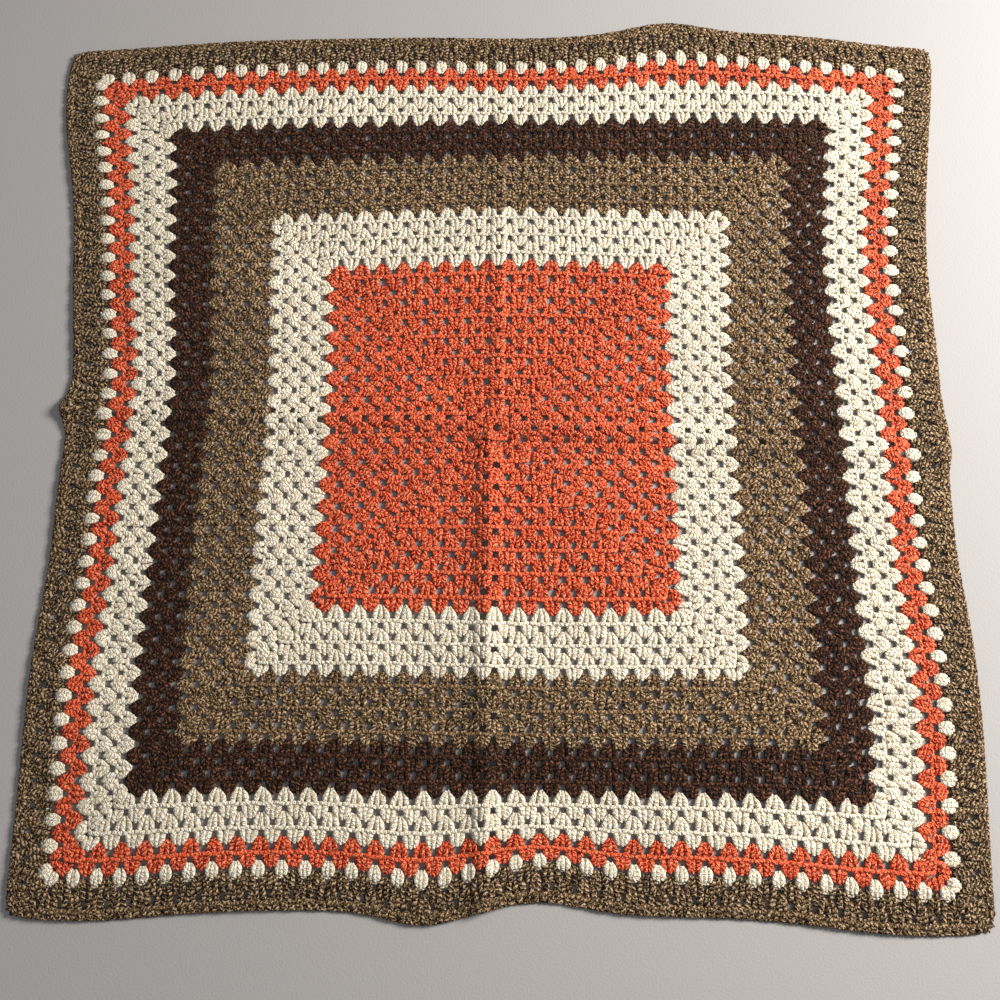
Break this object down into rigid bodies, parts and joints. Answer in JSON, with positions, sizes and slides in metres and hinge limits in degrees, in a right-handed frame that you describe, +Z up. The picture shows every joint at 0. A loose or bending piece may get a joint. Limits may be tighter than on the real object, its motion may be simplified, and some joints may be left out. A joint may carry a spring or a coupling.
{
  "type": "crocheted granny-square throw blanket",
  "caption": "Square crocheted throw in concentric coral, cream, taupe and brown rounds, open and flat, with two crossing fold creases.",
  "frame": {"origin": "centre of the underside, where the two fold creases cross", "axes": "+Z up out of the face with the raised ridges, +X along the crease between front and back halves, +Y towards the back edge"},
  "size_m": [1, 1, 0.005],
  "materials": {
    "coral_yarn": "spun medium-weight yarn in coral orange-red, matt with soft highlights on the plies",
    "cream_yarn": "spun medium-weight yarn in warm cream, matt",
    "taupe_tweed_yarn": "marled yarn of dark brown and tan plies twisted together, matt",
    "brown_tweed_yarn": "very dark brown yarn with red-brown flecks, matt"
  },
  "bodies": {
    "back_left_quarter": {"coral_centre_back_left": "coral_yarn", "cream_inner_back_left": "cream_yarn", "taupe_band_back_left": "taupe_tweed_yarn", "brown_band_back_left": "brown_tweed_yarn", "cream_outer_back_left": "cream_yarn", "coral_outer_back_left": "coral_yarn", "cream_dots_back_left": "cream_yarn", "taupe_border_back_left": "taupe_tweed_yarn", "edging_back_left": "taupe_tweed_yarn"},
    "back_right_quarter": {"coral_centre_back_right": "coral_yarn", "cream_inner_back_right": "cream_yarn", "taupe_band_back_right": "taupe_tweed_yarn", "brown_band_back_right": "brown_tweed_yarn", "cream_outer_back_right": "cream_yarn", "coral_outer_back_right": "coral_yarn", "cream_dots_back_right": "cream_yarn", "taupe_border_back_right": "taupe_tweed_yarn", "edging_back_right": "taupe_tweed_yarn"},
    "front_left_quarter": {"coral_centre_front_left": "coral_yarn", "cream_inner_front_left": "cream_yarn", "taupe_band_front_left": "taupe_tweed_yarn", "brown_band_front_left": "brown_tweed_yarn", "cream_outer_front_left": "cream_yarn", "coral_outer_front_left": "coral_yarn", "cream_dots_front_left": "cream_yarn", "taupe_border_front_left": "taupe_tweed_yarn", "edging_front_left": "taupe_tweed_yarn"},
    "front_right_quarter": {"coral_centre_front_right": "coral_yarn", "cream_inner_front_right": "cream_yarn", "taupe_band_front_right": "taupe_tweed_yarn", "brown_band_front_right": "brown_tweed_yarn", "cream_outer_front_right": "cream_yarn", "coral_outer_front_right": "coral_yarn", "cream_dots_front_right": "cream_yarn", "taupe_border_front_right": "taupe_tweed_yarn", "edging_front_right": "taupe_tweed_yarn"}
  },
  "joints": [
    {"name": "front_fold", "type": "hinge", "parent": "back_left_quarter", "child": "front_left_quarter", "pos_m": [0, 0, 0.0055], "axis": [-1, 0, 0], "range_deg": [0, 180]},
    {"name": "side_fold", "type": "hinge", "parent": "back_left_quarter", "child": "back_right_quarter", "pos_m": [0, 0, 0.0115], "axis": [0, -1, 0], "range_deg": [0, 180]},
    {"name": "front_fold_right", "type": "hinge", "parent": "back_right_quarter", "child": "front_right_quarter", "pos_m": [0, 0, 0.0055], "axis": [-1, 0, 0], "range_deg": [0, 180]}
  ],
  "couplings": [
    {"joint": "front_fold_right", "follows": "front_fold", "ratio": 1}
  ]
}
